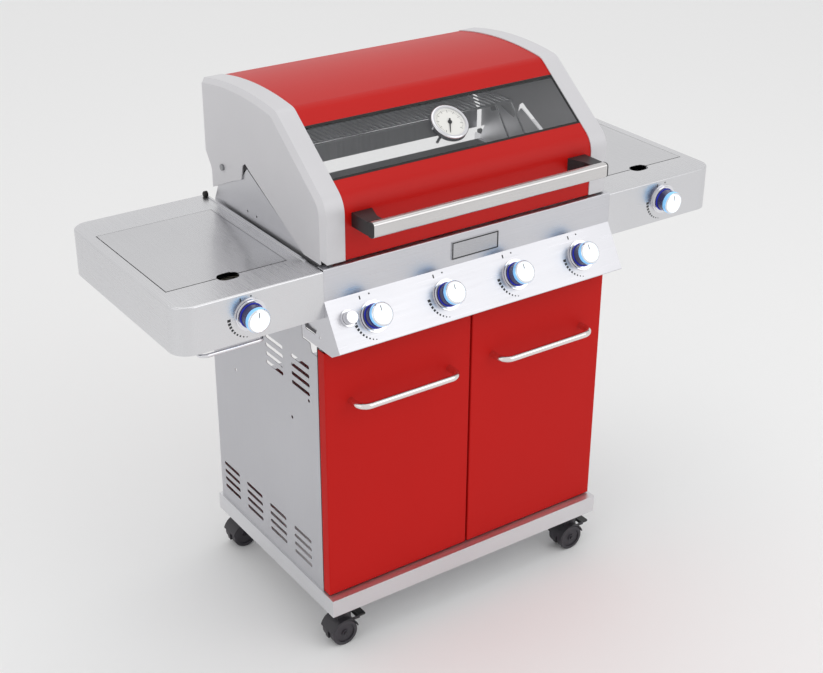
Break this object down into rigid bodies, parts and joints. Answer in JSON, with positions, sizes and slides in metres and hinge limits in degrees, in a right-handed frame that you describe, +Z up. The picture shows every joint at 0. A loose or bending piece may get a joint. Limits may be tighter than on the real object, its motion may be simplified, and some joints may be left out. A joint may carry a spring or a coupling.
{
  "type": "gas barbecue grill",
  "caption": "Freestanding gas grill: windowed lid, knob panel and drip tray over a two-door cart on castors, with a lidded burner in each side shelf.",
  "frame": {"origin": "bottom centre of the whole grill at floor level", "axes": "+X to the right of a cook at the front, +Y towards the back, +Z up; the front faces -Y"},
  "size_m": [1.37, 0.5808, 1.1969],
  "materials": {
    "base_steel": "satin, lightly brushed stainless sheet",
    "side_steel": "matt grey steel sheet",
    "fastener_steel": "bright zinc",
    "firebox_steel": "plain steel sheet",
    "gusset_steel": "satin stainless plate",
    "burner_steel": "plain stainless tube",
    "tamer_steel": "plain stainless sheet",
    "ceramic_white": "white ceramic",
    "grate_iron": "grey bars",
    "rack_chrome": "bright wire",
    "tray_steel": "plain steel sheet",
    "pipe_steel": "zinc-coated pipe",
    "valve_brass": "machined",
    "panel_steel": "satin stainless sheet brushed along its length",
    "badge_metal": "dark blank plate with a bright edge",
    "bezel_chrome": "polished",
    "led_plastic": "clear ring lit blue",
    "knob_plastic": "silver plated plastic",
    "button_plastic": "silver plated plastic",
    "shelf_steel": "satin stainless sheet brushed front to back",
    "cover_steel": "satin stainless sheet",
    "sear_ceramic": "ceramic tiles in a steel box",
    "side_burner_metal": "matt burner crown and cap",
    "trivet_iron": "black enamelled rod",
    "towel_chrome": "polished",
    "cap_silver": "smooth silver-grey paint on a casting",
    "lid_red": "smooth red enamel",
    "window_glass": "clear tempered glass",
    "seal_rubber": "black",
    "gauge_metal": "polished rim and pale dial",
    "needle_paint": "black",
    "handle_steel": "fine brushed along its length",
    "bracket_black": "heat-proof black",
    "door_red": "smooth red enamel",
    "door_handle_chrome": "polished",
    "castor_plastic": "black",
    "castor_tread": "dark grey discs",
    "pedal_plastic": "black"
  },
  "bodies": {
    "frame": {"base_frame": "base_steel", "cabinet_side_left": "side_steel", "cabinet_side_right": "side_steel", "cabinet_back": "side_steel", "door_crossbar": "side_steel", "hinge_pins": "fastener_steel", "castor_mounts": "fastener_steel", "firebox": "firebox_steel", "firebox_side_plates": "gusset_steel", "burners": "burner_steel", "flame_tamers": "tamer_steel", "igniters": "ceramic_white", "cooking_grates": "grate_iron", "warming_rack": "rack_chrome", "gas_manifold": "pipe_steel", "gas_valves": "valve_brass", "control_panel": "panel_steel", "badge_plate": "badge_metal", "knob_bezels": "bezel_chrome", "led_rings": "led_plastic", "shelf_left": "shelf_steel", "shelf_right": "shelf_steel", "sear_burner": "sear_ceramic", "side_burner": "side_burner_metal", "side_trivets": "trivet_iron", "towel_bar": "towel_chrome"},
    "lid": {"lid_cap_left": "cap_silver", "lid_cap_right": "cap_silver", "lid_hood": "lid_red", "lid_front": "lid_red", "window_glass": "window_glass", "window_seal": "seal_rubber", "thermometer_case": "gauge_metal", "handle_bar": "handle_steel", "handle_brackets": "bracket_black"},
    "needle": {"thermometer_needle": "needle_paint"},
    "door_left_body": {"door_left": "door_red", "door_handle_left": "door_handle_chrome"},
    "door_right_body": {"door_right": "door_red", "door_handle_right": "door_handle_chrome"},
    "tray": {"grease_tray": "tray_steel"},
    "button": {"light_button": "button_plastic"},
    "cover_left_body": {"burner_cover_left": "cover_steel"},
    "cover_right_body": {"burner_cover_right": "cover_steel"},
    "burner_knob_1_body": {"burner_knob_1": "knob_plastic"},
    "burner_knob_2_body": {"burner_knob_2": "knob_plastic"},
    "burner_knob_3_body": {"burner_knob_3": "knob_plastic"},
    "burner_knob_4_body": {"burner_knob_4": "knob_plastic"},
    "side_knob_left_body": {"side_knob_left": "knob_plastic"},
    "side_knob_right_body": {"side_knob_right": "knob_plastic"},
    "fork_front_left": {"castor_fork_front_left": "castor_plastic"},
    "wheels_front_left": {"castor_wheels_front_left": "castor_tread"},
    "pedal_front_left": {"brake_pedal_front_left": "pedal_plastic"},
    "fork_front_right": {"castor_fork_front_right": "castor_plastic"},
    "wheels_front_right": {"castor_wheels_front_right": "castor_tread"},
    "pedal_front_right": {"brake_pedal_front_right": "pedal_plastic"},
    "fork_rear_left": {"castor_fork_rear_left": "castor_plastic"},
    "wheels_rear_left": {"castor_wheels_rear_left": "castor_tread"},
    "fork_rear_right": {"castor_fork_rear_right": "castor_plastic"},
    "wheels_rear_right": {"castor_wheels_rear_right": "castor_tread"}
  },
  "joints": [
    {"name": "lid_hinge", "type": "hinge", "parent": "frame", "child": "lid", "pos_m": [0, 0.18835, 1.006], "axis": [-1, 0, 0], "range_deg": [0, 90]},
    {"name": "thermometer_turn", "type": "hinge", "parent": "lid", "child": "needle", "pos_m": [0, -0.11704, 1.11722], "axis": [0, 0.6102, -0.7922], "range_deg": [0, 270]},
    {"name": "door_left_hinge", "type": "hinge", "parent": "frame", "child": "door_left_body", "pos_m": [-0.362, -0.19645, 0.44], "axis": [0, 0, -1], "range_deg": [0, 105]},
    {"name": "cover_left_hinge", "type": "hinge", "parent": "frame", "child": "cover_left_body", "pos_m": [-0.53, 0.17435, 0.9129], "axis": [-1, 0, 0], "range_deg": [0, 95]},
    {"name": "door_right_hinge", "type": "hinge", "parent": "frame", "child": "door_right_body", "pos_m": [0.362, -0.19645, 0.44], "axis": [0, 0, 1], "range_deg": [0, 105]},
    {"name": "cover_right_hinge", "type": "hinge", "parent": "frame", "child": "cover_right_body", "pos_m": [0.53, 0.17435, 0.9129], "axis": [-1, 0, 0], "range_deg": [0, 95]},
    {"name": "tray_slide", "type": "slide", "parent": "frame", "child": "tray", "axis": [0, 1, 0], "range_m": [0, 0.4]},
    {"name": "burner_knob_1_turn", "type": "hinge", "parent": "frame", "child": "burner_knob_1_body", "pos_m": [-0.2685, -0.25957, 0.81352], "axis": [0, -0.8586, 0.5126], "range_deg": [0, 200]},
    {"name": "burner_knob_2_turn", "type": "hinge", "parent": "frame", "child": "burner_knob_2_body", "pos_m": [-0.0895, -0.25957, 0.81352], "axis": [0, -0.8586, 0.5126], "range_deg": [0, 200]},
    {"name": "burner_knob_3_turn", "type": "hinge", "parent": "frame", "child": "burner_knob_3_body", "pos_m": [0.0895, -0.25957, 0.81352], "axis": [0, -0.8586, 0.5126], "range_deg": [0, 200]},
    {"name": "burner_knob_4_turn", "type": "hinge", "parent": "frame", "child": "burner_knob_4_body", "pos_m": [0.2685, -0.25957, 0.81352], "axis": [0, -0.8586, 0.5126], "range_deg": [0, 200]},
    {"name": "side_knob_left_turn", "type": "hinge", "parent": "frame", "child": "side_knob_left_body", "pos_m": [-0.53, -0.23365, 0.871], "axis": [0, -1, 0], "range_deg": [0, 200]},
    {"name": "side_knob_right_turn", "type": "hinge", "parent": "frame", "child": "side_knob_right_body", "pos_m": [0.53, -0.23365, 0.871], "axis": [0, -1, 0], "range_deg": [0, 200]},
    {"name": "light_button_push", "type": "slide", "parent": "frame", "child": "button", "axis": [0, 0.8586, -0.5126], "range_m": [0, 0.003], "stiffness_N_per_m": 500, "springref_m": -0.002},
    {"name": "castor_swivel_front_left", "type": "hinge", "parent": "frame", "child": "fork_front_left", "pos_m": [-0.326, -0.19965, 0.085], "axis": [0, 0, 1], "continuous": true},
    {"name": "castor_roll_front_left", "type": "hinge", "parent": "fork_front_left", "child": "wheels_front_left", "pos_m": [-0.336, -0.19965, 0.031], "axis": [0, 1, 0], "continuous": true},
    {"name": "brake_press_front_left", "type": "hinge", "parent": "fork_front_left", "child": "pedal_front_left", "pos_m": [-0.296, -0.19965, 0.053], "axis": [0, 1, 0], "range_deg": [0, 20]},
    {"name": "castor_swivel_front_right", "type": "hinge", "parent": "frame", "child": "fork_front_right", "pos_m": [0.326, -0.19965, 0.085], "axis": [0, 0, 1], "continuous": true},
    {"name": "castor_roll_front_right", "type": "hinge", "parent": "fork_front_right", "child": "wheels_front_right", "pos_m": [0.316, -0.19965, 0.031], "axis": [0, 1, 0], "continuous": true},
    {"name": "brake_press_front_right", "type": "hinge", "parent": "fork_front_right", "child": "pedal_front_right", "pos_m": [0.356, -0.19965, 0.053], "axis": [0, 1, 0], "range_deg": [0, 20]},
    {"name": "castor_swivel_rear_left", "type": "hinge", "parent": "frame", "child": "fork_rear_left", "pos_m": [-0.326, 0.25635, 0.085], "axis": [0, 0, 1], "continuous": true},
    {"name": "castor_roll_rear_left", "type": "hinge", "parent": "fork_rear_left", "child": "wheels_rear_left", "pos_m": [-0.336, 0.25635, 0.031], "axis": [0, 1, 0], "continuous": true},
    {"name": "castor_swivel_rear_right", "type": "hinge", "parent": "frame", "child": "fork_rear_right", "pos_m": [0.326, 0.25635, 0.085], "axis": [0, 0, 1], "continuous": true},
    {"name": "castor_roll_rear_right", "type": "hinge", "parent": "fork_rear_right", "child": "wheels_rear_right", "pos_m": [0.316, 0.25635, 0.031], "axis": [0, 1, 0], "continuous": true}
  ]
}
